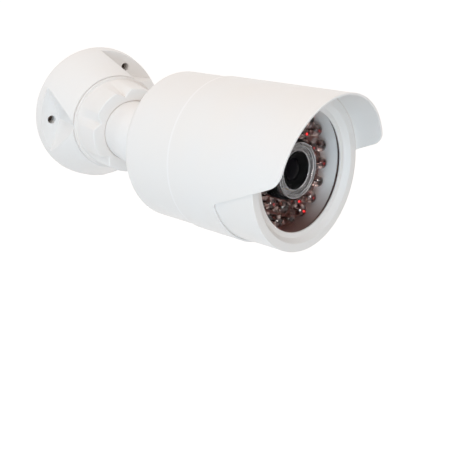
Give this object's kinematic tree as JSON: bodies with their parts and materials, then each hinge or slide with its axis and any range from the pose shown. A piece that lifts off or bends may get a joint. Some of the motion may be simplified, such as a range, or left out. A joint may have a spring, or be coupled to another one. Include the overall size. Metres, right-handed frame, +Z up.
{
  "type": "security camera",
  "caption": "Round infrared bullet camera with a visored sunshield, on a wall base whose locking collar clamps a slotted dome and ball stem.",
  "frame": {"origin": "centre of the wall base's back face, on the wall plane", "axes": "+Y into the wall, the bracket and camera stand out along -Y, +Z up"},
  "size_m": [0.0904, 0.1645, 0.0697],
  "materials": {
    "white_plastic": "white moulded plastic, lightly glossy",
    "window_clear": "clear flat window",
    "lamp_clear": "water-clear epoxy lamps",
    "shroud_clear": "clear smoky plastic tube",
    "lens_glass": "coated front glass",
    "filter_glass": "infrared cut filter",
    "black_rubber": "black rubber seals and foam",
    "clear_silicone": "milky silicone gasket",
    "black_plastic": "black moulded plastic",
    "black_metal": "black anodised lens barrel",
    "board": "dark red lacquered circuit board",
    "chip": "moulded chip package",
    "socket_plastic": "cream plug sockets",
    "sensor_cell": "light sensor cell",
    "brass": "bright turned brass",
    "steel": "bright steel screws"
  },
  "bodies": {
    "base": {"wall_base": "white_plastic"},
    "collar": {"locking_collar": "white_plastic"},
    "dome": {"socket_dome": "white_plastic", "ball_seat": "black_plastic"},
    "stem": {"ball_stem": "white_plastic", "lock_nut": "white_plastic", "stem_clip": "steel"},
    "camera": {"rear_housing": "white_plastic", "rear_seal": "black_rubber", "sunshield": "white_plastic", "front_bezel": "white_plastic", "front_seal": "black_rubber", "window": "window_clear", "window_gasket": "clear_silicone", "spacer_ring": "white_plastic", "led_board": "board", "clamp_ring": "black_plastic", "outer_lamps": "lamp_clear", "inner_lamps": "lamp_clear", "light_sensor": "sensor_cell", "lens_shroud": "shroud_clear", "lens_foam": "black_rubber", "lens_barrel": "black_metal", "front_lens": "lens_glass", "lens_lock_ring": "black_metal", "lens_holder": "black_plastic", "infrared_filter": "filter_glass", "image_sensor": "chip", "sensor_board": "board", "processor_chip": "chip", "cable_socket": "socket_plastic", "lamp_socket": "socket_plastic", "board_spacers": "brass", "board_screws": "steel"}
  },
  "joints": [
    {"name": "collar_turn", "type": "hinge", "parent": "base", "child": "collar", "pos_m": [0, -0.0494, 0], "axis": [0, -1, 0], "range_deg": [0, 90]},
    {"name": "dome_pan", "type": "hinge", "parent": "base", "child": "dome", "pos_m": [0, -0.0494, 0], "axis": [0, -1, 0], "range_deg": [-180, 180]},
    {"name": "stem_tilt", "type": "hinge", "parent": "dome", "child": "stem", "pos_m": [0, -0.0494, 0], "axis": [-0.1564, 0, 0.9877], "range_deg": [-14.3, 75.7]},
    {"name": "camera_roll", "type": "hinge", "parent": "stem", "child": "camera", "pos_m": [0, -0.0494, 0], "axis": [0.244, -0.969, 0.0386], "range_deg": [-180, 180]}
  ]
}
